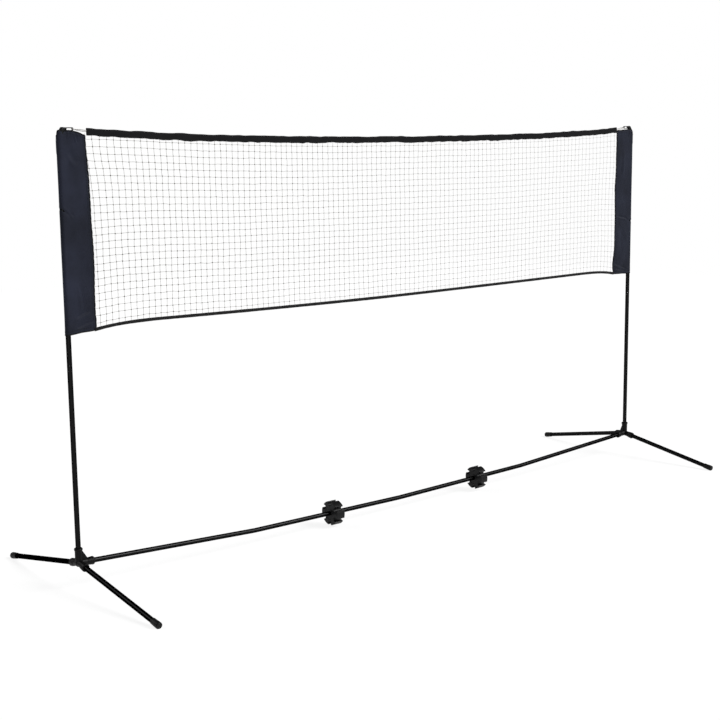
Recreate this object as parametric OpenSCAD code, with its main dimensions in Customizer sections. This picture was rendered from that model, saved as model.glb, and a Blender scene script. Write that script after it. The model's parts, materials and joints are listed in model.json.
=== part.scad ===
// Free-standing badminton net: two sectional posts in four-way hubs, splayed legs,
// a sectional base bar with two slotted storage discs, and a net with fabric post sleeves.
// Millimetres. X runs along the net, Y is the depth of the base, Z is up, the floor is z = 0.

/* [Frame] */
// Distance between the two post axes
post_span = 3000; // [2800:50:3200]
// Height of the top of the post caps above the floor
post_top = 1580; // [1560:5:1600]
// Height of the hub centres above the floor
hub_z = 100; // [96:1:108]
// Horizontal reach of a leg, from the hub centre to the end of its foot
leg_reach = 505; // [465:5:540]
// Height of the base bar at its two outer joints
bar_joint_z = 62; // [60:1:68]
// Height of the base bar at its middle joint
bar_low_z = 52; // [51:1:57]

/* [Tubes] */
// Outside diameter of the post and bar tubes
tube_od = 18; // [17.6:0.1:18.2]
// Outside diameter of the leg tubes
leg_od = 19; // [18.4:0.2:19.2]
// Wall thickness of every tube
tube_wall = 1.2; // [1:0.1:1.4]
// Height of the joint between the lower and upper post sections
post_joint_z = 790; // [720:10:850]
// Length of a joint spigot on each side of its joint
spigot_half = 70; // [50:5:90]

/* [Hubs] */
// Radius of the upright socket of a hub
upright_r = 12.8; // [12.3:0.1:13.3]
// Radius of the leg and bar sockets of a hub
socket_r = 12; // [11.6:0.1:12.4]
// Height of the upright socket above the hub centre
upright_len = 52; // [47:1:56]
// Length of the leg sockets from the hub centre
socket_len = 50; // [48:1:56]

/* [Storage discs] */
// Outside radius of a storage disc
disc_r = 48.5; // [46:0.5:49]
// Thickness of a storage disc along the bar
disc_t = 40; // [34:1:42]
// Distance of the left disc from the middle of the bar
left_disc_x = -358; // [-600:1:-100]
// Distance of the right disc from the middle of the bar
right_disc_x = 463; // [100:1:600]
// Number of tube slots round a disc
disc_slots = 6; // [6:1:6]
// Radius of a tube slot
slot_r = 9.6; // [9.4:0.1:9.9]

/* [Net] */
// Height of the top band's lowest point
band_low_z = 1528; // [1515:1:1540]
// Height of the top band
band_h = 25; // [20:1:27]
// Height of the bottom cord at the middle of the net
cord_low_z = 901; // [890:1:920]
// Radius of the bottom cord
cord_r = 4.8; // [3.5:0.1:5]
// Distance from the left post axis to the edge of the mesh
left_sleeve_w = 101; // [96:1:110]
// Distance from the right post axis to the edge of the mesh
right_sleeve_w = 110; // [104:1:118]
// Height of the lower hem of the left sleeve
left_sleeve_low_z = 893; // [885:1:895]
// Height of the lower hem of the right sleeve
right_sleeve_low_z = 884; // [878:1:885]
// Height of the upper hem of a post sleeve
sleeve_top_z = 1560; // [1545:1:1565]
// Thickness of the stand-in for the knotted mesh
mesh_t = 1; // [0.8:0.1:1.4]

/* [Hidden] */
$fn = 64;

black = [0.09, 0.09, 0.1];
steel = [0.6, 0.6, 0.62];
navy = [0.15, 0.17, 0.22];
twine = [0.8, 0.79, 0.76];
post_x = post_span / 2;
tube_r = tube_od / 2;
leg_r = leg_od / 2;
fit_gap = 0.05;
spigot_r = tube_r - tube_wall - fit_gap;
cap_depth = 32;
seat = 20;
upright_seat = 12;
foot_axis_z = 9.5;
leg_tilt = atan2(hub_z - foot_axis_z, leg_reach);
leg_len = norm([leg_reach, hub_z - foot_axis_z]);
bar_half = post_x / 2;
outer_tilt = atan2(hub_z - bar_joint_z, bar_half);
inner_tilt = atan2(bar_joint_z - bar_low_z, bar_half);
outer_len = norm([bar_half, hub_z - bar_joint_z]);
inner_len = norm([bar_half, bar_joint_z - bar_low_z]);
joint_gap = 0.35;
left_mesh_x = left_sleeve_w - post_x;
right_mesh_x = post_x - right_sleeve_w;
left_band_x = left_mesh_x + 1;
right_band_x = right_mesh_x - 1;
eye_reach = 54;
eye_drop = 7.2;
head_cord_r = 1.1;
head_cord_turn = 4.4;

// Height of the middle of the top band along the net; it hangs lowest just right of the middle.
function band_z(x) =
  let (u = (x - 40) / 1000)
  band_low_z + 11.2 * pow(u, 2) + 3.1 * pow(u, 4);

// Height of the bottom cord along the net; its ends drop to the lower corners of the sleeves,
// and it hangs a little slacker to the right of the middle.
function cord_z(x) =
  let (a = abs(x), m = min(a, 1150), e = max(0, a - 1150))
  cord_low_z + (x < 0 ? 14 : 4) * pow(m / 1150, 1.6) - (x < 0 ? 14.5 : 17) * pow(e / 250, 3);

function net_xs(x0, x1, n) = [for (i = [0 : n]) x0 + (x1 - x0) * i / n];

// A tube from distance a to distance b along the local Z axis.
module tube(r, a, b) {
  translate([0, 0, a])
    difference() {
      cylinder(r = r, h = b - a);
      translate([0, 0, -1]) cylinder(r = r - tube_wall, h = b - a + 2);
    }
}

// A solid of revolution along the local Z axis with a softly swollen collar at its mouth.
module socket_shell(r, length, collar) {
  rotate_extrude()
    polygon([
      [0, 0], [r, 0], [r, length - 27], [r + 1.2, length - 22], [r + 2, length - 14],
      [r + 2.2, length - 9], [r + collar, length - 8], [r + collar, length - 3],
      [r + collar - 1.2, length - 1.5], [r + 0.6, length], [0, length]
    ]);
}

// Local frames: Z points out of each leg socket and along the bar.
module along_leg(side) {
  rotate([side * (90 + leg_tilt), 0, 0]) children();
}

module along_bar(tilt) {
  rotate([0, 90 + tilt, 0]) children();
}

module hub_body() {
  difference() {
    union() {
      sphere(r = 14);
      rotate_extrude()
        polygon([
          [0, -12.5], [8.5, -12.5], [upright_r, -7], [upright_r, upright_len - 9],
          [upright_r + 1.2, upright_len - 8], [upright_r + 2, upright_len - 6.5],
          [upright_r + 2, upright_len - 2], [upright_r + 0.8, upright_len], [0, upright_len]
        ]);
      along_leg(1) socket_shell(socket_r, socket_len, 2.4);
      along_leg(-1) socket_shell(socket_r, socket_len, 2.4);
      along_bar(outer_tilt) socket_shell(socket_r, socket_len + 7, 2.8);
      // Web from the upright socket down to the bar socket.
      rotate([90, 0, 0])
        translate([0, 0, -4])
          linear_extrude(8)
            polygon([[0, upright_len - 10], [upright_r, upright_len - 10], [34, 9], [34, 0], [0, 0]]);
    }
    translate([0, 0, upright_seat]) cylinder(r = tube_r + fit_gap, h = upright_len);
    along_leg(1) translate([0, 0, seat]) cylinder(r = leg_r + fit_gap, h = socket_len);
    along_leg(-1) translate([0, 0, seat]) cylinder(r = leg_r + fit_gap, h = socket_len);
    along_bar(outer_tilt) translate([0, 0, seat]) cylinder(r = tube_r + fit_gap, h = socket_len);
  }
}

module left_hub() {
  color(black) translate([-post_x, 0, hub_z]) hub_body();
}

module right_hub() {
  color(black) translate([post_x, 0, hub_z]) mirror([1, 0, 0]) hub_body();
}

module outer_bar_tube() {
  translate([-post_x, 0, hub_z])
    along_bar(outer_tilt)
      tube(tube_r, seat + 0.2, outer_len - joint_gap);
}

module inner_bar_tube() {
  translate([-bar_half, 0, bar_joint_z])
    along_bar(inner_tilt)
      tube(tube_r, joint_gap, inner_len - joint_gap);
}

module bar_tube_left_outer() {
  color(black) outer_bar_tube();
}

module bar_tube_right_outer() {
  color(black) mirror([1, 0, 0]) outer_bar_tube();
}

module bar_tube_left_inner() {
  color(black) inner_bar_tube();
}

module bar_tube_right_inner() {
  color(black) mirror([1, 0, 0]) inner_bar_tube();
}

// A joint spigot: two short rods meeting at the joint, each along its own tube.
module spigot_pair(tilt_a, tilt_b) {
  rotate([0, tilt_a - 90, 0]) cylinder(r = spigot_r, h = spigot_half);
  along_bar(tilt_b) cylinder(r = spigot_r, h = spigot_half);
  sphere(r = spigot_r + 0.02);
}

module bar_spigot_left() {
  color(steel) translate([-bar_half, 0, bar_joint_z]) spigot_pair(outer_tilt, inner_tilt);
}

module bar_spigot_middle() {
  color(steel) translate([0, 0, bar_low_z]) spigot_pair(inner_tilt, -inner_tilt);
}

module bar_spigot_right() {
  color(steel) mirror([1, 0, 0]) translate([-bar_half, 0, bar_joint_z]) spigot_pair(outer_tilt, inner_tilt);
}

module leg(x, side) {
  color(black)
    translate([x, 0, hub_z])
      along_leg(side)
        tube(leg_r, seat + 0.2, leg_len - 5);
}

// A moulded foot: a sleeve over the tube end with a swollen tip, cut flat where it meets the floor.
module foot(x, side) {
  color(black)
    intersection() {
      translate([x, 0, hub_z])
        along_leg(side)
          difference() {
            rotate_extrude()
              polygon([
                [0, leg_len - 40], [leg_r + 1.1, leg_len - 40], [leg_r + 1.6, leg_len - 39],
                [leg_r + 1.8, leg_len - 25], [leg_r + 2.3, leg_len - 19], [12, leg_len - 12],
                [12, leg_len - 4], [11.2, leg_len - 1.5], [9.5, leg_len], [0, leg_len]
              ]);
            translate([0, 0, leg_len - 50]) cylinder(r = leg_r + fit_gap, h = 45.2);
          }
      translate([x - 50, -leg_reach - 50, 0]) cube([100, 2 * leg_reach + 100, 100]);
    }
}

module front_left_leg() {
  leg(-post_x, 1);
}

module rear_left_leg() {
  leg(-post_x, -1);
}

module front_right_leg() {
  leg(post_x, 1);
}

module rear_right_leg() {
  leg(post_x, -1);
}

module front_left_foot() {
  foot(-post_x, 1);
}

module rear_left_foot() {
  foot(-post_x, -1);
}

module front_right_foot() {
  foot(post_x, 1);
}

module rear_right_foot() {
  foot(post_x, -1);
}

// A storage disc: tube slots open at the rim between hammer-headed lobes, bored to slide on the bar.
module storage_disc(x) {
  tilt = x < 0 ? inner_tilt : -inner_tilt;
  z = bar_low_z + abs(x) * tan(inner_tilt);
  color(black)
    translate([x, 0, z])
      along_bar(tilt)
        translate([0, 0, -disc_t / 2])
          difference() {
            rotate_extrude()
              polygon([
                [0, 0], [15, 0], [16, 1.5], [26, 1.5], [27, 0], [disc_r - 1.2, 0], [disc_r, 1.2],
                [disc_r, disc_t - 1.2], [disc_r - 1.2, disc_t], [27, disc_t], [26, disc_t - 1.5],
                [16, disc_t - 1.5], [15, disc_t], [0, disc_t]
              ]);
            translate([0, 0, -1]) cylinder(r = tube_r + fit_gap, h = disc_t + 2);
            for (i = [0 : disc_slots - 1])
              rotate([0, 0, i * 360 / disc_slots]) {
                translate([disc_r - 9.5, 0, -1]) cylinder(r = slot_r, h = disc_t + 2);
                translate([disc_r - 9.5, -7.1, -1]) cube([20, 14.2, disc_t + 2]);
                // Flared lips that lead a tube into the slot.
                translate([0, 0, -1])
                  linear_extrude(disc_t + 2)
                    polygon([
                      [disc_r - 4.5, -7], [disc_r + 1, -10.3], [disc_r + 1, 10.3], [disc_r - 4.5, 7]
                    ]);
              }
          }
}

module left_storage_disc() {
  storage_disc(left_disc_x);
}

module right_storage_disc() {
  storage_disc(right_disc_x);
}

module lower_post(x) {
  color(black) translate([x, 0, 0]) tube(tube_r, hub_z + upright_seat + 0.2, post_joint_z - 0.2);
}

module upper_post(x) {
  color(black) translate([x, 0, 0]) tube(tube_r, post_joint_z + 0.2, post_top - cap_depth);
}

module post_spigot(x) {
  color(steel)
    translate([x, 0, post_joint_z - spigot_half])
      cylinder(r = spigot_r, h = 2 * spigot_half);
}

module left_lower_post() {
  lower_post(-post_x);
}

module right_lower_post() {
  lower_post(post_x);
}

module left_upper_post() {
  upper_post(-post_x);
}

module right_upper_post() {
  upper_post(post_x);
}

module left_post_spigot() {
  post_spigot(-post_x);
}

module right_post_spigot() {
  post_spigot(post_x);
}

// A post cap: a plug over the tube whose crown leans in towards the net and carries a flat,
// slotted eye for the head cord.
module post_cap() {
  difference() {
    union() {
      translate([0, 0, -62]) cylinder(r1 = tube_r + 0.8, r2 = tube_r + 1.2, h = 2);
      translate([0, 0, -60]) cylinder(r = tube_r + 1.2, h = 32);
      hull() {
        translate([0, 0, -29]) cylinder(r = tube_r + 1.2, h = 1);
        translate([11, 0, -7]) sphere(r = 7);
        translate([20, 0, -6.6]) sphere(r = 5.8);
      }
      translate([0, 2, -eye_drop])
        rotate([90, 0, 0])
          linear_extrude(4)
            difference() {
              union() {
                translate([12, -6]) square([eye_reach - 18, 12]);
                translate([eye_reach - 6, 0]) circle(r = 6);
              }
              hull() {
                translate([31, 0]) circle(r = 3);
                translate([eye_reach - 7.2, 0]) circle(r = 3);
              }
            }
    }
    translate([0, 0, -70]) cylinder(r = tube_r + fit_gap, h = 70 - cap_depth + 0.2);
  }
}

module left_post_cap() {
  color(black) translate([-post_x, 0, post_top]) post_cap();
}

module right_post_cap() {
  color(black) translate([post_x, 0, post_top]) mirror([1, 0, 0]) post_cap();
}

// Outline of a sleeve round the post, drawn out to the seam where it meets the mesh.
function sleeve_side(reach, r, seam, s) =
  let (a0 = 80)
  [
    for (i = [0 : 12]) [r * cos(180 - s * (180 - a0) * i / 12), r * sin(180 - s * (180 - a0) * i / 12)],
    for (i = [1 : 6]) let (t = i / 6) [
      r * cos(a0) + (reach - r * cos(a0)) * t,
      s * (r * sin(a0) + (seam - r * sin(a0)) * (1 - pow(1 - t, 1.6)))
    ]
  ];

function reversed(v) = [for (i = [len(v) - 1 : -1 : 1]) v[i]];

module sleeve_outline(reach, r, seam) {
  polygon(concat(sleeve_side(reach, r, seam, 1), reversed(sleeve_side(reach, r, seam, -1))));
}

// The upper hem drops towards the net where the head cord passes low over it.
module sleeve(width, band_x, low_z) {
  corner_z = min(sleeve_top_z, band_z(band_x) - 7.5);
  difference() {
    translate([0, 0, low_z])
      linear_extrude(sleeve_top_z - low_z)
        difference() {
          sleeve_outline(width - 1, tube_r + 2.6, 1.6);
          intersection() {
            sleeve_outline(width - 1, tube_r + 1.8, 0.7);
            translate([-30, -30]) square([30 + width - 8, 60]);
          }
        }
    if (corner_z < sleeve_top_z)
      translate([0, 30, 0])
        rotate([90, 0, 0])
          linear_extrude(60)
            polygon([
              [width + 5, corner_z - 1], [width + 5, sleeve_top_z + 5],
              [50, sleeve_top_z + 5], [50, sleeve_top_z]
            ]);
  }
}

module left_sleeve() {
  color(navy) translate([-post_x, 0, 0]) sleeve(left_sleeve_w, left_band_x, left_sleeve_low_z);
}

module right_sleeve() {
  color(navy) translate([post_x, 0, 0]) mirror([1, 0, 0]) sleeve(right_sleeve_w, right_band_x, right_sleeve_low_z);
}

module net_mesh() {
  xs = net_xs(left_mesh_x, right_mesh_x, 40);
  n = len(xs);
  color(twine)
    translate([0, mesh_t / 2, 0])
      rotate([90, 0, 0])
        linear_extrude(mesh_t)
          polygon(concat(
            [for (x = xs) [x, cord_z(x) + cord_r + 0.4]],
            [for (i = [n - 1 : -1 : 0]) [xs[i], band_z(xs[i]) - band_h / 2 - 0.4]]
          ));
}

module band_strip(more, half_h) {
  xs = net_xs(left_band_x - more, right_band_x + more, 40);
  n = len(xs);
  polygon(concat(
    [for (x = xs) [x, band_z(x) - half_h]],
    [for (i = [n - 1 : -1 : 0]) [xs[i], band_z(xs[i]) + half_h]]
  ));
}

// The top band is a folded tape; the head cord runs through the fold.
module net_top_band() {
  color(black)
    difference() {
      translate([0, 2.6, 0]) rotate([90, 0, 0]) linear_extrude(5.2) band_strip(0, band_h / 2);
      translate([0, 1.8, 0]) rotate([90, 0, 0]) linear_extrude(3.6) band_strip(5, 1.8);
    }
}

// Sweeps a round cord of radius r along the points p, keeping the ring turned towards ref.
module sweep(p, r, ref, sides) {
  n = len(p);
  rings = [
    for (i = [0 : n - 1])
      let (
        a = p[max(0, i - 1)],
        b = p[min(n - 1, i + 1)],
        t = (b - a) / norm(b - a),
        c = cross(t, ref),
        u = c / norm(c),
        v = cross(u, t)
      )
      for (k = [0 : sides - 1]) p[i] + r * (cos(360 * k / sides) * u + sin(360 * k / sides) * v)
  ];
  walls = [
    for (i = [0 : n - 2])
      for (k = [0 : sides - 1])
        [i * sides + k, (i + 1) * sides + k, (i + 1) * sides + (k + 1) % sides, i * sides + (k + 1) % sides]
  ];
  first = [for (k = [0 : sides - 1]) k];
  last = [for (k = [sides - 1 : -1 : 0]) (n - 1) * sides + k];
  polyhedron(points = rings, faces = concat([first], walls, [last]), convexity = 4);
}

// One end of the head cord: out of the band, round the far wall of the cap's eye, and back.
// The two strands leave the band one above the other and turn level as they reach the eye.
function loop_points(side) =
  let (
    band_x = side < 0 ? left_band_x : right_band_x,
    inner = [band_x + side, 0, band_z(band_x)],
    eye = [side * (post_x - eye_reach + 2), 0, post_top - eye_drop],
    turn = head_cord_turn,
    d = (eye - inner) / norm(eye - inner),
    far = norm(eye - inner) - 1,
    steps = 6
  )
  [
    for (i = [0 : steps]) let (t = i / steps, a = 90 * (1 - t))
      inner + d * far * t + turn * [0, cos(a), sin(a)] - [0, 0, 0.6 * (1 - t)],
    for (a = [15 : 25 : 165]) eye + [0, turn * cos(a), 0] + d * turn * sin(a),
    for (i = [steps : -1 : 0]) let (t = i / steps, a = 90 * (1 - t))
      inner + d * far * t - turn * [0, cos(a), sin(a) * t]
  ];

module net_head_cord() {
  xs = net_xs(left_band_x + 8, right_band_x - 8, 36);
  run = [for (x = xs) [x, 0, band_z(x)]];
  right = loop_points(1);
  m = len(right);
  color(twine)
    sweep(
      concat(loop_points(-1), run, [for (i = [m - 1 : -1 : 0]) right[i]]),
      head_cord_r, [0, 0.6, 0.8], 12
    );
}

module net_bottom_cord() {
  color(black) sweep([for (x = net_xs(left_mesh_x + 0.3, right_mesh_x - 0.3, 40)) [x, 0, cord_z(x)]], cord_r, [0, 1, 0], 16);
}

left_hub();
right_hub();
bar_tube_left_outer();
bar_tube_left_inner();
bar_tube_right_inner();
bar_tube_right_outer();
bar_spigot_left();
bar_spigot_middle();
bar_spigot_right();
front_left_leg();
rear_left_leg();
front_right_leg();
rear_right_leg();
front_left_foot();
rear_left_foot();
front_right_foot();
rear_right_foot();
left_storage_disc();
right_storage_disc();
left_lower_post();
right_lower_post();
left_upper_post();
right_upper_post();
left_post_spigot();
right_post_spigot();
left_post_cap();
right_post_cap();
left_sleeve();
right_sleeve();
net_mesh();
net_top_band();
net_head_cord();
net_bottom_cord();
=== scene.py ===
"""A free-standing badminton net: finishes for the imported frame, and the knotted mesh, taped top,
cords and post sleeves built round it. Metres; X along the net, Y the depth of the base, Z up."""

import json
import math

import bpy
import numpy as np
from mathutils import Matrix, Vector

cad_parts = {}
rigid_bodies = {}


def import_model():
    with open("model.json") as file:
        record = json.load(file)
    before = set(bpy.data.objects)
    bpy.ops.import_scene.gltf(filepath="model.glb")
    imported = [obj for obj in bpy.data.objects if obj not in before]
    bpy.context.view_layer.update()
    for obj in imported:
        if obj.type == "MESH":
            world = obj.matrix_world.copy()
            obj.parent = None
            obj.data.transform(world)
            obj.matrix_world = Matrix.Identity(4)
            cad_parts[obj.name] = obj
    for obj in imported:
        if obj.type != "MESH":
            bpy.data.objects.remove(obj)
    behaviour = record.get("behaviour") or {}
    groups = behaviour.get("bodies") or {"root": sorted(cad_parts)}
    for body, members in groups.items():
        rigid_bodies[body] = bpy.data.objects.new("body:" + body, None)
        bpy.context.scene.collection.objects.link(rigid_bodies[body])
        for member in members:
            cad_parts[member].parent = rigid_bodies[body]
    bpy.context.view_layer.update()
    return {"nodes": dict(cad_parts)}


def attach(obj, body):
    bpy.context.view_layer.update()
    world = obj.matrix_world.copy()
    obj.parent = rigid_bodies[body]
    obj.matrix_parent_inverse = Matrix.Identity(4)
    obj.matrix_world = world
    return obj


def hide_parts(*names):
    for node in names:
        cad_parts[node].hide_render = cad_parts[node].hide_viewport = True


for old in list(bpy.data.objects):
    bpy.data.objects.remove(old, do_unlink=True)
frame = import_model()

# The route of the net, as in the CAD source.
POST_X = 1.5
POST_TOP = 1.58
LEFT_MESH_X = -1.399
RIGHT_MESH_X = 1.39
LEFT_BAND_X = LEFT_MESH_X + 0.001
RIGHT_BAND_X = RIGHT_MESH_X - 0.001
BAND_LOW = 1.528
CORD_LOW = 0.901
HEAD_CORD_R = 0.0011
HEAD_TURN = 0.0044
EYE_REACH = 0.054
EYE_DROP = 0.0072
COLUMNS = 111
ROWS = 26

# Drawn sizes. Twine and knots get finer from left to right, as they look from the camera.
TWINE_R_LEFT, TWINE_R_RIGHT = 0.0006, 0.00035
KNOT_SIZE_LEFT, KNOT_SIZE_LOSS = 0.0019, 0.0009
CORD_DRAWN_R = 0.0056
HEAD_CORD_LOOP_MORE = 0.00012
BAND_STITCH = {"pitch": 0.0052, "length": 0.0038, "thick": 0.00034}


def band_z(x):
    """Height of the middle of the top band."""
    u = np.asarray(x, float) - 0.04
    return BAND_LOW + 0.0112 * u**2 + 0.0031 * u**4


def cord_z(x):
    """Height of the bottom cord's centre."""
    x = np.asarray(x, float)
    a = np.abs(x)
    sag = np.where(x < 0, 0.014, 0.004) * (np.minimum(a, 1.15) / 1.15) ** 1.6
    return CORD_LOW + sag - np.where(x < 0, 0.0145, 0.017) * (np.maximum(0, a - 1.15) / 0.25) ** 3


# ---------------------------------------------------------------- helpers: noise


def smooth(t):
    t = np.clip(t, 0, 1)
    return t * t * (3 - 2 * t)


def noise1(x, size, seed):
    """Smooth noise from -1 to 1 along a line, with features of that size."""
    grid = np.random.default_rng(seed).uniform(-1, 1, 1024)
    t = np.asarray(x, float) / size + 300
    i = np.floor(t).astype(int)
    f = smooth(t - i)
    return grid[i % 1024] * (1 - f) + grid[(i + 1) % 1024] * f


def noise2(x, y, size_x, size_y, seed):
    """Smooth noise from -1 to 1 over a plane."""
    grid = np.random.default_rng(seed).uniform(-1, 1, (128, 128))
    s, t = np.asarray(x, float) / size_x + 40, np.asarray(y, float) / size_y + 40
    i, j = np.floor(s).astype(int), np.floor(t).astype(int)
    f, g = smooth(s - i), smooth(t - j)
    i, j = i % 128, j % 128
    k, m = (i + 1) % 128, (j + 1) % 128
    low = grid[i, j] * (1 - f) + grid[k, j] * f
    high = grid[i, m] * (1 - f) + grid[k, m] * f
    return low * (1 - g) + high * g


# ---------------------------------------------------------------- helpers: meshes


def unit(v):
    return v / np.maximum(np.linalg.norm(v, axis=-1, keepdims=True), 1e-12)


def build(name, parts, material, body):
    """A mesh object from parts of (points, faces, coordinates).

    faces is (m, k), and coordinates is (m, k, 2) in metres or None."""
    points, loops, starts, uvs, base, at = [], [], [], [], 0, 0
    for p, f, uv in parts:
        p, f = np.asarray(p, float).reshape(-1, 3), np.asarray(f, int)
        points.append(p)
        loops.append((f + base).ravel())
        starts.append(at + np.arange(len(f)) * f.shape[1])
        uvs.append(np.zeros((f.size, 2)) if uv is None else np.asarray(uv).reshape(-1, 2))
        base += len(p)
        at += f.size
    points, loops, starts, uvs = (np.concatenate(a) for a in (points, loops, starts, uvs))
    mesh = bpy.data.meshes.new(name)
    mesh.vertices.add(len(points))
    mesh.vertices.foreach_set("co", points.astype(np.float32).ravel())
    mesh.loops.add(len(loops))
    mesh.loops.foreach_set("vertex_index", loops.astype(np.int32))
    mesh.polygons.add(len(starts))
    mesh.polygons.foreach_set("loop_start", starts.astype(np.int32))
    mesh.polygons.foreach_set("use_smooth", np.ones(len(starts), bool))
    mesh.update(calc_edges=True)
    layer = mesh.uv_layers.new(name="Run")
    layer.data.foreach_set("uv", uvs.astype(np.float32).ravel())
    mesh.validate()
    mesh.materials.append(material)
    o = bpy.data.objects.new(name, mesh)
    bpy.context.scene.collection.objects.link(o)
    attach(o, body)
    return o


def sweep(paths, radius, sides, ref=(0, 1, 0), flat=None):
    """Rings of points along paths (s, n, 3) or one path (n, 3).

    radius reaches along ref and flat across it; either may vary along the path."""
    p = np.asarray(paths, float)
    p = p[None] if p.ndim == 2 else p
    s, n, _ = p.shape
    t = unit(np.gradient(p, axis=1))
    r = np.broadcast_to(np.asarray(ref, float), p.shape)
    u = unit(r - (r * t).sum(-1, keepdims=True) * t)
    w = np.cross(t, u)
    radius = np.broadcast_to(np.asarray(radius, float), (s, n))
    flat = radius if flat is None else np.broadcast_to(np.asarray(flat, float), (s, n))
    angle = np.arange(sides) * 2 * math.pi / sides
    c, d = np.cos(angle), np.sin(angle)
    rings = (
        p[:, :, None]
        + (radius[..., None] * c)[..., None] * u[:, :, None]
        + (flat[..., None] * d)[..., None] * w[:, :, None]
    )
    return p, rings, s, n


def tubes(paths, radius, sides, ref=(0, 1, 0), flat=None, shape=None):
    """sweep() as closed mesh parts. shape(path, ring points) may move the rings first."""
    p, rings, s, n = sweep(paths, radius, sides, ref, flat)
    if shape is not None:
        rings = shape(p, rings)
    along = np.concatenate(
        [np.zeros((s, 1)), np.cumsum(np.linalg.norm(np.diff(p, axis=1), axis=2), axis=1)], axis=1
    )
    base = (np.arange(s) * n * sides)[:, None, None]
    i = (np.arange(n - 1) * sides)[None, :, None]
    k = np.arange(sides)[None, None, :]
    k2 = (k + 1) % sides
    quads = np.stack([base + i + k, base + i + k2, base + i + sides + k2, base + i + sides + k], -1)
    around = np.broadcast_to(k / sides, quads.shape[:3])
    u0 = np.broadcast_to(along[:, :-1, None], quads.shape[:3])
    u1 = np.broadcast_to(along[:, 1:, None], quads.shape[:3])
    step = 1 / sides
    uv = np.stack(
        [
            np.stack([u0, around], -1),
            np.stack([u0, around + step], -1),
            np.stack([u1, around + step], -1),
            np.stack([u1, around], -1),
        ],
        -2,
    )
    ring = np.arange(sides)
    first = base[:, 0] + ring[::-1][None]
    last = base[:, 0] + (n - 1) * sides + ring[None]
    caps = np.concatenate([first, last])
    return [
        (rings.reshape(-1, 3), quads.reshape(-1, 4), uv.reshape(-1, 4, 2)),
        (np.zeros((0, 3)), caps - s * n * sides, None),
    ]


def resample(line, step):
    """The line again with points about step apart."""
    line = np.asarray(line, float)
    along = np.concatenate([[0], np.cumsum(np.linalg.norm(np.diff(line, axis=0), axis=1))])
    at = np.linspace(0, along[-1], max(2, round(along[-1] / step) + 1))
    return np.stack([np.interp(at, along, line[:, k]) for k in range(3)], 1)


def stitches(line, out, pitch=0.0045, length=0.0032, thick=0.00032):
    """Short raised threads along a line.

    out is the way off the cloth, one vector or one for each point of the line."""
    line = np.asarray(line, float)
    out = np.broadcast_to(np.asarray(out, float), line.shape)
    along = np.concatenate([[0], np.cumsum(np.linalg.norm(np.diff(line, axis=0), axis=1))])
    at = np.arange(pitch / 2, along[-1] - pitch / 2, pitch)
    if not len(at):
        return []
    place = np.stack([np.interp(at, along, line[:, k]) for k in range(3)], 1)
    tangent = unit(
        np.stack([np.interp(at + pitch / 4, along, line[:, k]) for k in range(3)], 1)
        - np.stack([np.interp(at - pitch / 4, along, line[:, k]) for k in range(3)], 1)
    )
    off = unit(np.stack([np.interp(at, along, out[:, k]) for k in range(3)], 1))
    share = np.array([-0.5, -0.32, 0.0, 0.32, 0.5])
    rise = np.array([-0.3, 0.55, 0.9, 0.55, -0.3]) * thick
    fat = np.array([0.5, 1.0, 1.15, 1.0, 0.5]) * thick
    paths = (
        place[:, None]
        + share[None, :, None] * length * tangent[:, None]
        + rise[None, :, None] * off[:, None]
    )
    radius = np.broadcast_to(fat, paths.shape[:2])
    return tubes(paths, radius, 5, ref=np.broadcast_to(off[:, None], paths.shape))


# ---------------------------------------------------------------- helpers: materials


def add(tree, kind, settings=None, **inputs):
    """A shader node; inputs are numbers, colours or the sockets that feed them."""
    n = tree.nodes.new("ShaderNode" + kind)
    for key, value in (settings or {}).items():
        setattr(n, key, value)
    for key, value in inputs.items():
        socket = n.inputs[int(key[1:])] if key[0] == "_" else n.inputs[key.replace("_", " ")]
        if isinstance(value, bpy.types.NodeSocket):
            tree.links.new(value, socket)
        else:
            socket.default_value = value
    return n


def ramp(tree, factor, *stops):
    """A colour ramp of (place, colour or grey)."""
    n = add(tree, "ValToRGB", Fac=factor)
    marks = n.color_ramp.elements
    while len(marks) < len(stops):
        marks.new(0.5)
    for mark, (place, colour) in zip(marks, stops, strict=True):
        colour = (colour,) * 3 if isinstance(colour, (int, float)) else colour
        mark.position, mark.color = place, (*colour, 1)
    return n.outputs["Color"]


def ranged(tree, value, low, high, source=(0.3, 0.7)):
    n = add(
        tree,
        "MapRange",
        Value=value,
        From_Min=source[0],
        From_Max=source[1],
        To_Min=low,
        To_Max=high,
    )
    return n.outputs["Result"]


def grain(tree, vector, scale, detail=2.0, rough=0.5, distortion=0.0):
    return add(
        tree,
        "TexNoise",
        Vector=vector,
        Scale=scale,
        Detail=detail,
        Roughness=rough,
        Distortion=distortion,
    ).outputs["Fac"]


def bumps(tree, *layers):
    """Bump nodes in a row, each (height socket, depth in metres)."""
    normal = None
    for height, depth in layers:
        n = add(tree, "Bump", Strength=1.0, Distance=depth, Height=height)
        if normal is not None:
            tree.links.new(normal, n.inputs["Normal"])
        normal = n.outputs["Normal"]
    return normal


def new_material(name, **sockets):
    m = bpy.data.materials.new(name)
    m.use_nodes = True
    shader = m.node_tree.nodes["Principled BSDF"]
    for key, value in sockets.items():
        shader.inputs[key.replace("_", " ")].default_value = value
    return m, m.node_tree, shader


def own_place(tree):
    return add(tree, "TexCoord").outputs["Object"]


def run_place(tree, scale):
    """The piece's own run coordinates, metres along it and across it, times scale."""
    uv = add(tree, "UVMap", {"uv_map": "Run"}).outputs["UV"]
    return add(tree, "Mapping", Vector=uv, Scale=scale).outputs["Vector"]


def threads(tree, vector, direction, scale=1.0, distortion=0.0):
    return add(
        tree,
        "TexWave",
        {"wave_type": "BANDS", "bands_direction": direction, "wave_profile": "SIN"},
        Vector=vector,
        Scale=scale,
        Distortion=distortion,
        Detail=1.0,
    ).outputs["Fac"]


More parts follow.
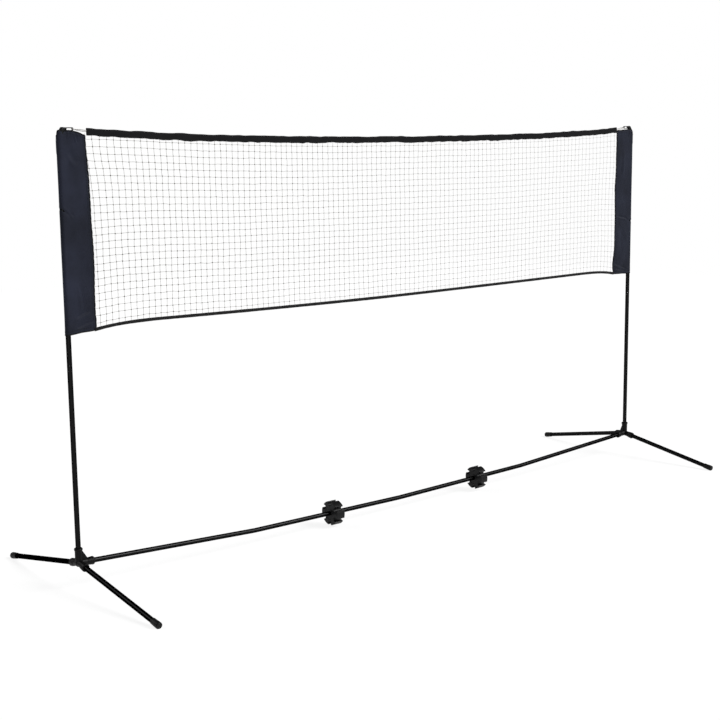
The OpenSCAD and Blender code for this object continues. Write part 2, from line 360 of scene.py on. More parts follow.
def math_node(tree, operation, a, b=None):
    inputs = {"_0": a} if b is None else {"_0": a, "_1": b}
    return add(tree, "Math", {"operation": operation}, **inputs).outputs["Value"]


def plastic(name, dark, light, rough, grain_size, depth, level=0.35, worn_share=0.15):
    """Moulded or coated black: fine grain, a cloudy sheen and pale scuffs."""
    m, tree, shader = new_material(name, Specular_IOR_Level=level, IOR=1.4)
    place = own_place(tree)
    cloud = grain(tree, place, 14, 4, 0.6)
    fine = grain(tree, place, grain_size, 3, 0.6)
    scuff = grain(tree, place, 260, 5, 0.75, 1.5)
    worn = ramp(tree, scuff, (0.62, 0.0), (0.8, 1.0))
    base = ramp(tree, cloud, (0.3, dark), (0.75, light))
    mixed = add(
        tree,
        "Mix",
        {"data_type": "RGBA"},
        _0=math_node(tree, "MULTIPLY", worn, worn_share),
        _6=base,
        _7=(*[c * 4 for c in light], 1),
    )
    tree.links.new(mixed.outputs[2], shader.inputs["Base Color"])
    patchy = ranged(tree, grain(tree, place, 45, 4, 0.6), rough - 0.05, rough + 0.07)
    rubbed = math_node(tree, "MULTIPLY", worn, 0.08)
    tree.links.new(math_node(tree, "ADD", patchy, rubbed), shader.inputs["Roughness"])
    tree.links.new(bumps(tree, (fine, depth), (cloud, 0.0002)), shader.inputs["Normal"])
    return m


def coated(name, dark, light, rough):
    """Satin black powder coat on metal tube, with a soft highlight that stays dark towards the edges."""
    m, tree, shader = new_material(name, Metallic=1.0, Specular_Tint=(0.04, 0.04, 0.04, 1))
    place = own_place(tree)
    fine = grain(tree, place, 1100, 3, 0.6)
    cloud = grain(tree, place, 14, 4, 0.6)
    tree.links.new(ramp(tree, cloud, (0.3, dark), (0.75, light)), shader.inputs["Base Color"])
    patchy = ranged(tree, grain(tree, place, 45, 4, 0.6), rough - 0.04, rough + 0.06)
    tree.links.new(patchy, shader.inputs["Roughness"])
    tree.links.new(bumps(tree, (fine, 0.00002), (cloud, 0.0001)), shader.inputs["Normal"])
    return m


def steel():
    m, tree, shader = new_material("zinc_steel", Metallic=1.0)
    place = own_place(tree)
    long = add(tree, "Mapping", Vector=place, Scale=(60, 60, 1.5)).outputs["Vector"]
    drawn = grain(tree, long, 25, 4, 0.6)
    spangle = ramp(tree, grain(tree, place, 90, 4), (0.3, (0.42, 0.43, 0.45)), (0.7, (0.6, 0.6, 0.61)))
    tree.links.new(spangle, shader.inputs["Base Color"])
    tree.links.new(ranged(tree, drawn, 0.24, 0.42), shader.inputs["Roughness"])
    tree.links.new(bumps(tree, (drawn, 0.00004)), shader.inputs["Normal"])
    return m


def cloth(name, dark, light, pitch, depth, rough, sheen, tint=(0.5, 0.6, 0.8, 1)):
    """Plain-woven cloth: two sets of threads a pitch apart, painted shade in the gaps between them, slubs and
    faint fading.
    """
    m, tree, shader = new_material(
        name,
        Sheen_Weight=sheen,
        Sheen_Roughness=0.45,
        Sheen_Tint=tint,
        Specular_IOR_Level=0.12,
    )
    bands_per_unit = 20
    run = run_place(tree, (1 / pitch / bands_per_unit, 1 / pitch / bands_per_unit, 1))
    warp = threads(tree, run, "X", 1.0)
    weft = threads(tree, run, "Y", 1.0)
    weave = math_node(tree, "MAXIMUM", warp, weft)
    slub = grain(tree, run_place(tree, (60, 900, 1)), 1.0, 3, 0.6)
    fade = grain(tree, own_place(tree), 7, 4, 0.6)
    shade = ramp(tree, fade, (0.3, dark), (0.72, light))
    # Painted shade: the colour darkens in the gaps between the threads.
    weave_gap_shade = add(
        tree,
        "Mix",
        {"data_type": "RGBA", "blend_type": "MULTIPLY"},
        _0=0.35,
        _6=shade,
        _7=ramp(tree, weave, (0.1, 0.45), (0.8, 1.0)),
    )
    flecks = add(
        tree,
        "Mix",
        {"data_type": "RGBA", "blend_type": "MULTIPLY"},
        _0=0.4,
        _6=weave_gap_shade.outputs[2],
        _7=ramp(tree, slub, (0.3, 0.7), (0.7, 1.0)),
    )
    tree.links.new(flecks.outputs[2], shader.inputs["Base Color"])
    tree.links.new(ranged(tree, slub, rough - 0.06, rough + 0.08), shader.inputs["Roughness"])
    tree.links.new(bumps(tree, (weave, depth), (slub, depth * 0.7)), shader.inputs["Normal"])
    return m


def cord_stuff(name, dark, light, pitch, depth, rough=0.6, braided=False, sheen=0.1):
    """Twisted or braided cord: diagonal strands from the run along it and the turn round it, with painted
    shade in the grooves between strands.
    """
    m, tree, shader = new_material(name, Sheen_Weight=sheen, Sheen_Roughness=0.5, Specular_IOR_Level=0.2)
    run = add(tree, "UVMap", {"uv_map": "Run"}).outputs["UV"]
    parts = add(tree, "SeparateXYZ", Vector=run)
    along = math_node(tree, "MULTIPLY", parts.outputs["X"], 1 / pitch)
    turn = math_node(tree, "MULTIPLY", parts.outputs["Y"], 3.0)
    one = math_node(tree, "SINE", math_node(tree, "MULTIPLY", math_node(tree, "ADD", along, turn), 6.2832))
    other = math_node(tree, "SUBTRACT", along, turn)
    two = math_node(tree, "SINE", math_node(tree, "MULTIPLY", other, 6.2832))
    strands = math_node(tree, "MAXIMUM", one, two) if braided else one
    place = own_place(tree)
    fibre = grain(tree, place, 1500, 3, 0.7)
    tone = ramp(tree, grain(tree, place, 30, 4, 0.6), (0.3, dark), (0.7, light))
    # Painted shade: the base colour darkens in the grooves between strands.
    strand_groove_shade = add(
        tree,
        "Mix",
        {"data_type": "RGBA", "blend_type": "MULTIPLY"},
        _0=0.5,
        _6=tone,
        _7=ramp(tree, ranged(tree, strands, 0.0, 1.0, (-1.0, 1.0)), (0.1, 0.4), (0.7, 1.0)),
    )
    tree.links.new(strand_groove_shade.outputs[2], shader.inputs["Base Color"])
    tree.links.new(ranged(tree, fibre, rough - 0.05, rough + 0.1), shader.inputs["Roughness"])
    tree.links.new(bumps(tree, (strands, depth), (fibre, depth * 0.5)), shader.inputs["Normal"])
    return m


TUBE = coated("powder_coat", (0.0088, 0.0088, 0.009), (0.0118, 0.0118, 0.012), 0.27)
MOULDING = plastic("moulded_hub", (0.0014, 0.0014, 0.0015), (0.0028, 0.0028, 0.003), 0.47, 900, 0.00005, 0.18)
DISC = plastic("moulded_disc", (0.0025, 0.0025, 0.0027), (0.005, 0.005, 0.0054), 0.44, 700, 0.00007, 0.22)
FOOT = plastic("moulded_foot", (0.0022, 0.0022, 0.0022), (0.0045, 0.0045, 0.0045), 0.5, 600, 0.00007, 0.2)
STEEL = steel()
SLEEVE = cloth("navy_oxford", (0.0048, 0.0058, 0.0112), (0.0138, 0.0163, 0.03), 0.00055, 0.00008, 0.64, 0.12)
TAPE = cloth(
    "black_tape", (0.0025, 0.0025, 0.003), (0.006, 0.006, 0.007), 0.0009, 0.00015, 0.78, 0.03,
    tint=(0.8, 0.8, 0.85, 1),
)
TWINE = cord_stuff("net_twine", (0.24, 0.232, 0.212), (0.33, 0.32, 0.295), 0.0022, 0.00012)
# The knots are the mesh twine coloured darker: painted shade inside each knot.
SHADED_KNOT_TWINE = cord_stuff("twine_knot_painted_shade", (0.16, 0.152, 0.135), (0.24, 0.23, 0.21), 0.0022, 0.00012)
PALE = cord_stuff("pale_rope", (0.34, 0.33, 0.315), (0.47, 0.46, 0.44), 0.004, 0.0003)
BLACK_CORD = cord_stuff(
    "black_braid", (0.0018, 0.0018, 0.002), (0.004, 0.004, 0.0044), 0.0034, 0.0002, 0.7, True, 0.0
)
THREAD = cord_stuff(
    "black_thread", (0.004, 0.004, 0.005), (0.009, 0.009, 0.011), 0.0006, 0.00004, sheen=0.04
)

# ---------------------------------------------------------------- camera, lights, floor


def add_camera():
    yaw, pitch, roll = (math.radians(a) for a in (40.895, -9.292, -0.668))
    ahead = Vector((math.cos(pitch) * math.sin(yaw), math.cos(pitch) * math.cos(yaw), math.sin(pitch)))
    level = Vector((math.cos(yaw), -math.sin(yaw), 0))
    up = level.cross(ahead)
    right = math.cos(roll) * level + math.sin(roll) * up
    top = -math.sin(roll) * level + math.cos(roll) * up
    data = bpy.data.cameras.new("camera")
    data.lens, data.sensor_width = 66.815, 36
    data.clip_start, data.clip_end = 0.1, 300
    cam = bpy.data.objects.new("camera", data)
    turn = Matrix((right, top, -ahead)).transposed().to_4x4()
    cam.matrix_world = Matrix.Translation((-3.6654, -3.9928, 1.5222)) @ turn
    bpy.context.scene.collection.objects.link(cam)
    bpy.context.scene.camera = cam


def add_sun(name, toward, strength, angle):
    data = bpy.data.lights.new(name, "SUN")
    data.energy, data.angle = strength, math.radians(angle)
    o = bpy.data.objects.new(name, data)
    o.rotation_mode = "QUATERNION"
    o.rotation_quaternion = (-Vector(toward)).to_track_quat("-Z", "Y")
    o.location = Vector(toward) * 4
    bpy.context.scene.collection.objects.link(o)


def add_studio():
    world = bpy.data.worlds.new("studio")
    bpy.context.scene.world = world
    world.use_nodes = True
    tree = world.node_tree
    tree.nodes.clear()
    seen = add(tree, "Background", Color=(1, 1, 1, 1), Strength=1.0)
    light = add(tree, "Background", Color=(0.97, 0.98, 1, 1), Strength=0.14)
    mix = add(
        tree,
        "MixShader",
        _0=add(tree, "LightPath").outputs["Is Camera Ray"],
        _1=light.outputs[0],
        _2=seen.outputs[0],
    )
    out = tree.nodes.new("ShaderNodeOutputWorld")
    tree.links.new(mix.outputs[0], out.inputs["Surface"])
    add_sun("key", (0.5, -0.64, 0.58), 3.1, 30)
    add_sun("front", (-0.47, -0.87, 0.05), 0.75, 26)
    add_sun("back", (-0.48, 0.65, 0.59), 0.75, 24)

    m, tree, shader = new_material(
        "pale_floor", Roughness=0.9, Specular_IOR_Level=0.0, Emission_Strength=0.85
    )
    shader.inputs["Emission Color"].default_value = (1, 1, 1, 1)
    cloud = grain(tree, own_place(tree), 0.8, 3)
    tree.links.new(ramp(tree, cloud, (0.3, 0.19), (0.7, 0.21)), shader.inputs["Base Color"])
    size = 9
    mesh = bpy.data.meshes.new("floor")
    corners = [(-size, -size, 0), (size, -size, 0), (size, size, 0), (-size, size, 0)]
    mesh.from_pydata(corners, [], [(0, 1, 2, 3)])
    mesh.materials.append(m)
    floor = bpy.data.objects.new("floor", mesh)
    bpy.context.scene.collection.objects.link(floor)
    bpy.context.scene.view_settings.view_transform = "Standard"


add_camera()
add_studio()

# ---------------------------------------------------------------- CAD nodes that stay


def finish_node(name, material, bevel=0.0):
    o = frame["nodes"][name]
    o.data.materials.clear()
    o.data.materials.append(material)
    if bevel:
        b = o.modifiers.new("edge", "BEVEL")
        b.width, b.segments, b.limit_method = bevel, 2, "ANGLE"
        b.angle_limit = math.radians(38)
        b.harden_normals = False


for side in ("left", "right"):
    finish_node(f"{side}_hub", MOULDING, 0.0008)
    finish_node(f"{side}_storage_disc", DISC, 0.0009)
    finish_node(f"{side}_post_cap", MOULDING, 0.0005)
    finish_node(f"{side}_post_spigot", STEEL)
    for part in ("lower", "upper"):
        finish_node(f"{side}_{part}_post", TUBE)
    for place in ("outer", "inner"):
        finish_node(f"bar_tube_{side}_{place}", TUBE)
    for end in ("front", "rear"):
        finish_node(f"{end}_{side}_leg", TUBE)
        finish_node(f"{end}_{side}_foot", FOOT, 0.0006)
for place in ("left", "middle", "right"):
    finish_node(f"bar_spigot_{place}", STEEL)

# ---------------------------------------------------------------- sleeves' outlines, which the mesh follows


def through(z, *marks):
    """A smooth curve through (height, value) marks."""
    heights, values = zip(*marks, strict=True)
    z = np.clip(np.asarray(z, float), heights[0], heights[-1])
    i = np.clip(np.searchsorted(heights, z, side="right") - 1, 0, len(heights) - 2)
    h, v = np.array(heights), np.array(values)
    return v[i] + (v[i + 1] - v[i]) * smooth((z - h[i]) / (h[i + 1] - h[i]))


def left_reach(z):
    """How far the left sleeve's seam is from its post axis."""
    low = ((0.89, 0.107), (1.0, 0.1055), (1.13, 0.109))
    return through(z, *low, (1.28, 0.1055), (1.4, 0.1035), (1.56, 0.0955))


def right_reach(z):
    """The same for the right sleeve."""
    low = ((0.885, 0.112), (0.925, 0.117), (1.02, 0.1055), (1.12, 0.1045))
    return through(z, *low, (1.28, 0.1085), (1.4, 0.103), (1.55, 0.1015))


# ---------------------------------------------------------------- knotted mesh


def crossings(c, r):
    """Where twine crosses: column c from the left and row r from the top."""
    c, r = np.broadcast_arrays(np.asarray(c, float), np.asarray(r, float))
    left, right = -POST_X + 0.119, POST_X - 0.1263
    share = c / (COLUMNS - 1)
    x = left + (right - left) * share - 0.0124 * share * (1 - share)
    top = band_z(x) - 0.0235 + 0.0045 * np.exp(-(((x + 1.15) / 0.3) ** 2))
    low = cord_z(x) + 0.019 + 0.008 * smooth((x - 0.5) / 0.6)
    z = top + (low - top) * r / (ROWS - 1)
    at_left, at_right = np.exp(-c / 9), np.exp(-(COLUMNS - 1 - c) / 9)
    x = x + at_left * (0.0035 - 0.013 * smooth((z - 1.2) / 0.35))
    x = x - at_right * (0.005 - 0.011 * smooth((z - 0.95) / 0.6))
    x = x - at_left * 0.013 * smooth((z - 1.36) / 0.2)
    rng = np.random.default_rng(5)
    loose = rng.normal(0, 1, (2, *c.shape))
    x = x + 0.0018 * noise2(c, r, 7, 5, 11) + 0.0006 * loose[0]
    z = z + 0.0016 * noise2(c, r, 6, 6, 12) + 0.0006 * loose[1]
    y = 0.0022 * noise2(c, r, 16, 11, 13)
    return np.stack([x, y, z], -1)


def strands(knots, ends):
    """Lines of twine through rows of knots and on to the ends, four points to a cell, a little slack."""
    a, b = knots[:, :-1], knots[:, 1:]
    rng = np.random.default_rng(6)
    slack = rng.normal(0, 0.00035, (*a.shape[:2], 1, 3))
    t = np.array([0, 0.2, 0.5, 0.8])[None, None, :, None]
    cells = a[:, :, None] * (1 - t) + b[:, :, None] * t + slack * np.sin(np.pi * t)
    line = cells.reshape(len(knots), -1, 3)
    return np.concatenate([ends[0], line, knots[:, -1:], ends[1]], axis=1)


def knot_template(turns=15, sides=4):
    """A small overhand knot of radius about 1.5, for make_mesh() to scale."""
    t = np.arange(turns) * 2 * math.pi / turns
    x, y = np.sin(t) + 2 * np.sin(2 * t), np.cos(t) - 2 * np.cos(2 * t)
    path = np.stack([x, y, -1.3 * np.sin(3 * t)], 1) / 3
    nxt, last = np.roll(path, -1, 0), np.roll(path, 1, 0)
    tangent = unit(nxt - last)
    u = unit(np.cross(tangent, path + np.array([0.1, 0.2, 0.9])))
    w = np.cross(tangent, u)
    angle = np.arange(sides) * 2 * math.pi / sides
    c, s = np.cos(angle)[None, :, None], np.sin(angle)[None, :, None]
    rings = path[:, None] + 0.52 * (c * u[:, None] + s * w[:, None])
    i, k = np.meshgrid(np.arange(turns), np.arange(sides), indexing="ij")
    j, m = (i + 1) % turns, (k + 1) % sides
    quads = np.stack([i * sides + k, i * sides + m, j * sides + m, j * sides + k], -1).reshape(-1, 4)
    return rings.reshape(-1, 3), quads


def turned(rng, n):
    """n rotations spread evenly."""
    q = unit(rng.normal(0, 1, (n, 4)))
    a, b, c, d = q.T
    return np.stack(
        [
            np.stack([1 - 2 * (c * c + d * d), 2 * (b * c - a * d), 2 * (b * d + a * c)], -1),
            np.stack([2 * (b * c + a * d), 1 - 2 * (b * b + d * d), 2 * (c * d - a * b)], -1),
            np.stack([2 * (b * d - a * c), 2 * (c * d + a * b), 1 - 2 * (b * b + c * c)], -1),
        ],
        -2,
    )


def make_mesh():
    """Twine along the rows and columns, with a knot at every crossing."""
    grid = crossings(np.arange(COLUMNS)[:, None], np.arange(ROWS)[None])
    share = np.linspace(0, 1, COLUMNS)
    column_r = np.linspace(TWINE_R_LEFT, TWINE_R_RIGHT, COLUMNS)[:, None]
    rows = grid.transpose(1, 0, 2)
    left, right = rows[:, :1].copy(), rows[:, -1:].copy()
    left[..., 0] = -POST_X + left_reach(left[..., 2]) - 0.003
    right[..., 0] = POST_X - right_reach(right[..., 2]) + 0.003
    left[..., 1], right[..., 1] = 0, 0
    side_to_side = strands(rows, (left, right))
    row_r = np.linspace(TWINE_R_LEFT, TWINE_R_RIGHT, side_to_side.shape[1])
    tops, lows = grid[:, :1].copy(), grid[:, -1:].copy()
    tops[..., 2] = band_z(tops[..., 0]) - 0.006
    lows[..., 2] = cord_z(lows[..., 0])
    tops[..., 1], lows[..., 1] = 0, 0
    up_and_down = strands(grid, (tops, lows))
    row_piece = build("net_mesh_rows", tubes(side_to_side, row_r, 5), TWINE, "left_upper")
    build("net_mesh_columns", tubes(up_and_down, column_r, 5), TWINE, "left_upper")
    shape, quads = knot_template()
    rng = np.random.default_rng(7)
    flat = grid.reshape(-1, 3)
    spins = turned(rng, len(flat))
    sizes = rng.uniform(0.92, 1.08, len(flat)) * (KNOT_SIZE_LEFT - KNOT_SIZE_LOSS * np.repeat(share, ROWS))
    third = math.ceil(len(flat) / 3)
    for k in range(3):
        part = slice(k * third, (k + 1) * third)
        points = flat[part, None] + sizes[part, None, None] * np.einsum("nij,pj->npi", spins[part], shape)
        faces = quads[None] + (np.arange(len(points)) * len(shape))[:, None, None]
        uv = np.stack([points[..., 0], points[..., 2]], -1).reshape(-1, 2)[faces.reshape(-1, 4)]
        knots = [(points, faces.reshape(-1, 4), uv)]
        build(f"net_mesh_knots_{k + 1}", knots, SHADED_KNOT_TWINE, "left_upper")
    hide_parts("net_mesh")


make_mesh()

# ---------------------------------------------------------------- top band and head cord


def band_lean(x):
    """How far the band stands off its plane; the cord inside goes with it."""
    ends = smooth((x - LEFT_BAND_X - 0.008) / 0.08) * smooth((RIGHT_BAND_X - 0.008 - x) / 0.08)
    return 0.0009 * noise1(x, 0.11, 25) * ends


def make_band():
    """A tape folded over the head cord and sewn along its lower edge."""
    n = 698
    x = np.linspace(LEFT_BAND_X, RIGHT_BAND_X + 0.005, n)
    lump = 0.001 * noise1(x, 0.03, 21) + 0.0009 * noise1(x, 0.085, 22)
    tall = 1 + 0.06 * noise1(x, 0.06, 23) + 0.05 * noise1(x, 0.022, 24)
    lean = band_lean(x)
    puff = np.maximum(1 + 0.16 * noise1(x, 0.03, 26) + 0.12 * noise1(x, 0.013, 27), 0.95)
    ragged = 0.0011 * noise1(x, 0.021, 28) + 0.0006 * noise1(x, 0.009, 29)
    # Half of the folded tape's section: (height, half thickness) in millimetres, sewn edge first.
    side = [(-12.5, 1.35), (-11, 1.45), (-9.2, 1.15), (-7.5, 1.35), (-3.5, 1.75)]
    side += [(1, 2.05), (5.5, 2.35), (9, 2.3), (11.4, 1.55)]
    side = np.array(side)
    back = [(z, -y) for z, y in side]
    front = [(z, y) for z, y in side[::-1]]
    outer = np.concatenate([back, [(12.5, 0.0)], front]) / 1000
    inner = outer.copy()
    inner[:, 1] -= np.sign(inner[:, 1]) * 0.0007
    inner[len(side), 0] -= 0.0008
    ring = np.concatenate([outer, inner[::-1]])
    k = len(ring)
    zs = band_z(x)[:, None] + lump[:, None] + ring[None, :, 0] * tall[:, None]
    zs = zs + ragged[:, None] * smooth((-0.006 - ring[None, :, 0]) / 0.005)
    ys = lean[:, None] + ring[None, :, 1] * np.where(np.abs(ring[None, :, 1]) > 0.0005, puff[:, None], 1)
    xs = np.broadcast_to(x[:, None], zs.shape)
    points = np.stack([xs, ys, zs], -1)
    i, j = np.meshgrid(np.arange(n - 1), np.arange(k), indexing="ij")
    j2 = (j + 1) % k
    quads = np.stack([i * k + j, (i + 1) * k + j, (i + 1) * k + j2, i * k + j2], -1).reshape(-1, 4)
    run = np.concatenate([[0], np.cumsum(np.linalg.norm(np.diff(ring, axis=0), axis=1))])
    step = np.linalg.norm(ring[0] - ring[-1])
    v0, v1 = run, np.concatenate([run[1:], [run[-1] + step]])
    uv = np.stack(
        [
            np.stack([x[i], v0[j]], -1),
            np.stack([x[i + 1], v0[j]], -1),
            np.stack([x[i + 1], v1[j]], -1),
            np.stack([x[i], v1[j]], -1),
        ],
        -2,
    ).reshape(-1, 4, 2)
    half = len(outer)
    ends = []
    for at, turn in ((0, 1), (n - 1, -1)):
        for q in range(half - 1):
            face = [at * k + q, at * k + q + 1, at * k + k - 2 - q, at * k + k - 1 - q]
            ends.append(face[::turn])
    parts = [(points, quads, uv), (np.zeros((0, 3)), np.array(ends) - n * k, None)]
    band = build("top_band", parts, TAPE, "left_upper")
    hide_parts("net_top_band")
    sewn = []
    for sign, column in ((-1, 2), (1, half - 3)):
        for pick in (column, column - 4 * sign):
            line = points[:, pick].copy()
            line[:, 1] += sign * 0.0001
            sewn += stitches(line, (0, sign, 0), **BAND_STITCH)
    build("top_band_stitches", sewn, THREAD, "left_upper")


def loop_points(side):
    """One end of the head cord, as in the CAD source: out of the band, round the cap's eye and back."""
    band_x = LEFT_BAND_X if side < 0 else RIGHT_BAND_X
    inner = np.array([band_x + side * 0.001, 0, float(band_z(band_x))])
    eye = np.array([side * (POST_X - EYE_REACH + 0.002), 0, POST_TOP - EYE_DROP])
    span = np.linalg.norm(eye - inner)
    d, far = (eye - inner) / span, span - 0.001
    points = []
    for t in np.linspace(0, 1, 25):
        a = math.pi / 2 * (1 - t)
        way_out = HEAD_TURN * np.array([0, math.cos(a), math.sin(a)])
        points.append(inner + d * far * t + way_out - [0, 0, 0.0006 * (1 - t)])
    for a in np.radians(np.linspace(10, 170, 13)):
        points.append(eye + HEAD_TURN * (np.array([0, math.cos(a), 0]) + d * math.sin(a)))
    for t in np.linspace(1, 0, 25):
        a = math.pi / 2 * (1 - t)
        points.append(inner + d * far * t - HEAD_TURN * np.array([0, math.cos(a), math.sin(a) * t]))
    tail = []
    for s in (0.02, 0.014, 0.008, 0.003):
        tail.append(inner + [-side * s, 0, HEAD_TURN - 0.0006 - 0.002 * smooth(s / 0.02)])
    return np.array(tail + points)


def make_head_cord():
    """The pale cord through the band, with a loop out of each end to a cap's eye."""
    left, right = loop_points(-1), loop_points(1)[::-1]
    x = np.linspace(LEFT_BAND_X + 0.008, RIGHT_BAND_X - 0.008, 760)
    inside = np.stack([x, band_lean(x), band_z(x) + 0.0016], 1)
    fine_left, fine_right = resample(left, 0.0009), resample(right, 0.0009)
    line = np.concatenate([fine_left, inside, fine_right])
    shown = np.concatenate([np.ones(len(fine_left)), np.zeros(len(inside)), np.ones(len(fine_right))])
    along = np.concatenate([[0], np.cumsum(np.linalg.norm(np.diff(line, axis=0), axis=1))])

    def lobes(p, rings):
        sides = rings.shape[2]
        angle = np.arange(sides) * 2 * math.pi / sides
        swell = 1 + 0.13 * shown[:, None] * np.cos(3 * (angle[None] - along[:, None] / 0.0115 * 2 * math.pi))
        return p[:, :, None] + (rings - p[:, :, None]) * swell[None, :, :, None]

    parts = tubes(line, HEAD_CORD_R + HEAD_CORD_LOOP_MORE * shown, 12, ref=(0, 0.6, 0.8), shape=lobes)
    o = build("head_cord", parts, PALE, "left_upper")
    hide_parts("net_head_cord")


def make_bottom_cord():
    """The black cord that the mesh ends on, sewn along one side."""
    x = np.linspace(LEFT_MESH_X + 0.0003, RIGHT_MESH_X - 0.0003, 930)
    line = np.stack([x, np.zeros_like(x), cord_z(x)], 1)

    def lumpy(p, rings):
        swell = 1 + 0.035 * noise1(x, 0.014, 31) + 0.03 * noise1(x, 0.05, 32)
        sides = rings.shape[2]
        angle = np.arange(sides) * 2 * math.pi / sides
        ridge = 0.13 * np.exp(-(((angle - 1.25) / 0.28) ** 2))
        return p[:, :, None] + (rings - p[:, :, None]) * (swell[:, None] + ridge[None])[None, :, :, None]

    parts = tubes(line, CORD_DRAWN_R, 18, ref=(0, -1, 0), shape=lumpy)
    o = build("bottom_cord", parts, BLACK_CORD, "left_upper")
    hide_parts("net_bottom_cord")
    seam = line.copy()
    seam[:, 1] -= 0.0036
    seam[:, 2] += 0.0035
    sewn = stitches(seam, (0, -0.7, 0.7), 0.006, 0.0042, 0.00038)
    build("bottom_cord_stitches", sewn, THREAD, "left_upper")


make_band()
make_head_cord()
make_bottom_cord()

# ---------------------------------------------------------------- post sleeves


# The level direction in which a shoulder drops, away from the net and to one side of its plane.
OUTWARD_X, OUTWARD_Y = 0.756, 0.655


def crease(a, z, start, end, width, depth):
    """A fold line from start to end: a valley with a soft ridge above it.

    Each end is (distance from the post axis, height)."""
    s, e = np.array(start), np.array(end)
    d = e - s
    long = np.linalg.norm(d)
    d = d / long
    across = np.array([-d[1], d[0]]) * (1 if d[0] > 0 else -1)
    along = ((a - s[0]) * d[0] + (z - s[1]) * d[1]) / long
    off = (a - s[0]) * across[0] + (z - s[1]) * across[1]
    fade = smooth((along + 0.12) / 0.3) * smooth((1.12 - along) / 0.3)
    valley = -np.exp(-((off / width) ** 2))
    ridge = 0.75 * np.exp(-(((off - 1.9 * width) / (1.3 * width)) ** 2))
    return depth * fade * (valley + ridge)


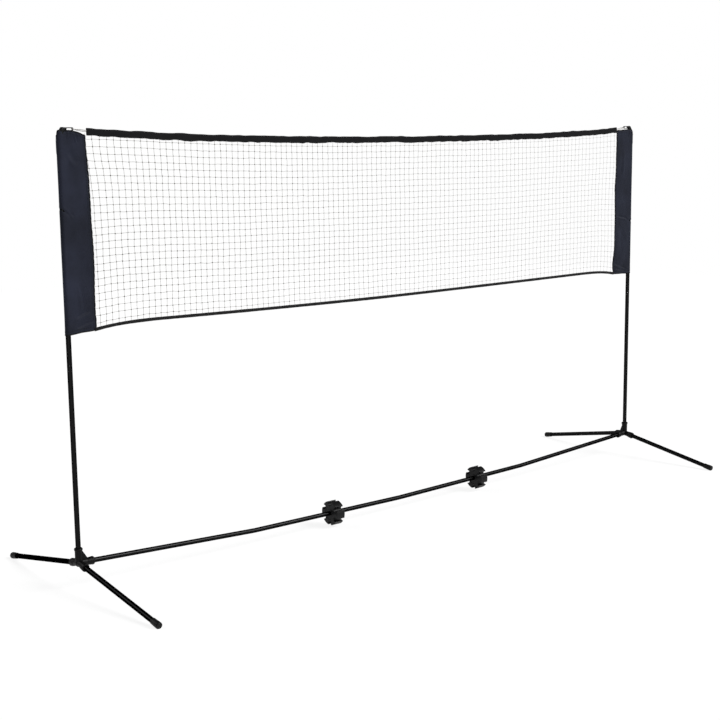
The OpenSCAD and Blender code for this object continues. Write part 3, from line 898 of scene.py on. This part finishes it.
def make_sleeve(side, reach, seed, top, low, drop, shoulder, creases, bulge):
    """A pocket of cloth round one post, seamed and bound where it meets the mesh.

    q goes round the cloth from seam to seam and h goes up it; t is 0 at the post and 1 at the seam.
    top and low are the heights at the post and at the seam."""
    name, body = ("left", "left_upper") if side < 0 else ("right", "right_upper")
    nq, nz = 101, 262
    q, h = np.meshgrid(np.linspace(0, 1, nq), np.linspace(0, 1, nz), indexing="ij")
    layer = 0.43
    front, back = q < layer, q > 1 - layer
    t = np.where(front, 1 - q / layer, np.where(back, 1 - (1 - q) / layer, 0))
    turn = np.clip((q - layer) / (1 - 2 * layer), 0, 1)
    phi = -math.pi / 2 - math.pi * turn
    guess = low[0] + (top[0] - low[0]) * h
    wide = reach(guess)
    a_flat = wide * t
    radius = 0.0098 + 0.0002 * noise1(guess, 0.07, seed) + bulge(guess)
    radius = radius + 0.001 * smooth((guess - 1.505) / 0.01) - 0.0036 * smooth((guess - 1.551) / 0.018)
    a = np.where(front | back, a_flat, radius * np.cos(phi))
    inward = np.clip(a / wide, 0, 1)
    stand = np.where(front, -1, np.where(back, 1, np.sin(phi)))
    outward = np.clip(-OUTWARD_X * a / radius - side * OUTWARD_Y * stand, 0, 1)
    z_low = low[0] + (low[1] - low[0]) * inward + 0.0008 * noise1(q * 0.25, 0.03, seed + 1)
    z_top = top[0] + (top[1] - top[0]) * inward**drop - shoulder * outward**2
    z_top = z_top + 0.0012 * noise1(q * 0.25, 0.014, seed + 2)
    z = z_low + (z_top - z_low) * h
    scallop = 0.0013 * np.abs(np.sin(math.pi * (z - 0.9) / 0.0245)) + 0.0007 * noise1(z, 0.03, seed + 3)
    a = a + np.where(t > 0, scallop * t**6, 0)

    seam = 0.0007
    rest = seam + (radius - seam) * (1 - t) ** 1.55
    sway = (
        0.0036 * noise2(a, z, 0.06, 0.2, seed + 4)
        + 0.0016 * noise2(a + 0.4 * z, z, 0.034, 0.24, seed + 5)
        + 0.0007 * noise2(a - 0.5 * z, z, 0.024, 0.11, seed + 6)
    ) * smooth(t / 0.35) * (1 - 0.75 * smooth((t - 0.75) / 0.25))
    fold = sum(crease(a, z, *c) for c in creases)
    sway = sway + fold * smooth((t - 0.1) / 0.3) * (1 - 0.6 * smooth((t - 0.85) / 0.15))
    hug = np.where(front | back, 1, 1 - 0.9 * np.abs(np.cos(phi)))
    puff_noise = 0.0008 * (noise2(q, z, 0.08, 0.2, seed + 7) + 0.4)
    puff_noise = puff_noise + 0.0003 * noise2(q + 0.6 * z, z, 0.05, 0.2, seed + 8)
    puff = puff_noise * smooth((1 - t) / 0.25) * hug
    puff = puff + fold * (1 - smooth((t - 0.1) / 0.3)) * np.where(q < 0.62, 0.7, 0.2)
    gather = smooth((z - (z_top - 0.05)) / 0.05)
    pleat = np.sin(2 * math.pi * q * 15 + 1.5 * noise1(q, 0.1, seed + 9))
    pleat = pleat * (0.6 + 0.4 * noise1(q, 0.06, seed + 10))
    puff = puff + gather * 0.0011 * (pleat + 0.4) * smooth((1 - t) / 0.4) * hug
    hem = smooth((z_low + 0.013 - z) / 0.001) + smooth((z - z_top + 0.011) / 0.001)
    puff = puff + 0.00035 * hem
    lift = rest + np.maximum(puff, -0.45 * np.maximum(rest - 0.0006, 0))
    y = np.where(front, sway - lift, np.where(back, sway + lift, (radius + puff) * np.sin(phi)))
    a = np.where(front | back, a, (radius + np.maximum(puff, -0.0009)) * np.cos(phi))
    x = side * (POST_X - a)
    points = np.stack([x, y, z], -1)

    i, j = np.meshgrid(np.arange(nq - 1), np.arange(nz - 1), indexing="ij")
    quads = np.stack([i * nz + j, (i + 1) * nz + j, (i + 1) * nz + j + 1, i * nz + j + 1], -1).reshape(-1, 4)
    round_it = np.concatenate([[0], np.cumsum(np.linalg.norm(np.diff(points[:, nz // 2], axis=0), axis=1))])
    uv = np.stack([np.broadcast_to(round_it[:, None], z.shape), z], -1).reshape(-1, 2)[quads]
    order = 1 if side > 0 else -1
    sheet = [(points, quads[:, ::order], uv[:, ::order])]
    cloth_piece = build(f"{name}_sleeve_cloth", sheet, SLEEVE, body)
    thick = cloth_piece.modifiers.new("thickness", "SOLIDIFY")
    thick.thickness, thick.offset = 0.0005, -1
    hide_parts(f"{name}_sleeve")

    # Binding over the seam, and the two hems.
    edge = (points[0] + points[-1]) / 2
    edge_line = resample(edge, 0.003)
    edge_line[:, 0] += side * 0.0012
    binding = tubes(edge_line, 0.0014, 8, ref=(0, 1, 0), flat=0.0029)
    for row, rise in ((0, 0.0008), (nz - 1, -0.0008)):
        loop = points[:, row].copy()
        loop[:, 2] += rise
        binding += tubes(loop, 0.0023, 6, ref=(0, 0, 1), flat=0.00075)
    build(f"{name}_sleeve_binding", binding, TAPE, body)

    sewn = []
    du = np.gradient(points, axis=0)
    dv = np.gradient(points, axis=1)
    normal = unit(np.cross(du, dv)) * order * -1
    middle = points.mean(axis=0, keepdims=True)
    if ((points - middle) * normal).sum() < 0:
        normal = -normal
    lift_off = points + normal * 0.0002
    for column in (2, 4, nq - 3, nq - 5):
        sewn += stitches(lift_off[column], normal[column])
    per_metre = nz / (top[0] - low[0])
    for row in (round(0.012 * per_metre), round(0.0095 * per_metre), nz - 1 - round(0.010 * per_metre)):
        sewn += stitches(lift_off[:, row], normal[:, row])
    build(f"{name}_sleeve_stitches", sewn, THREAD, body)


make_sleeve(
    -1,
    left_reach,
    50,
    top=(1.569, 1.551),
    low=(0.893, 0.899),
    drop=2.6,
    shoulder=0.02,
    creases=[
        ((-0.011, 1.315), (0.034, 1.283), 0.0035, 0.0032),
        ((0.052, 1.558), (0.058, 1.528), 0.003, 0.0024),
        ((0.016, 1.49), (0.05, 1.45), 0.008, 0.0024),
        ((0.008, 0.93), (0.085, 0.958), 0.006, 0.0026),
        ((0.03, 0.905), (0.1, 0.925), 0.005, 0.0018),
        ((0.045, 1.05), (0.052, 0.975), 0.006, 0.0018),
    ],
    bulge=lambda z: 0.0003 * smooth((0.96 - z) / 0.05),
)
make_sleeve(
    1,
    right_reach,
    80,
    top=(1.5635, 1.558),
    low=(0.884, 0.887),
    drop=1.0,
    shoulder=0.014,
    creases=[
        ((-0.011, 1.133), (0.116, 1.158), 0.004, 0.003),
        ((0.006, 1.552), (0.022, 1.522), 0.0035, 0.003),
        ((0.0, 0.893), (0.112, 0.928), 0.005, 0.0028),
        ((0.03, 0.892), (0.1, 0.905), 0.004, 0.002),
        ((0.05, 1.46), (0.06, 1.36), 0.008, 0.002),
    ],
    bulge=lambda z: 0.0004 * smooth((0.96 - z) / 0.05),
)
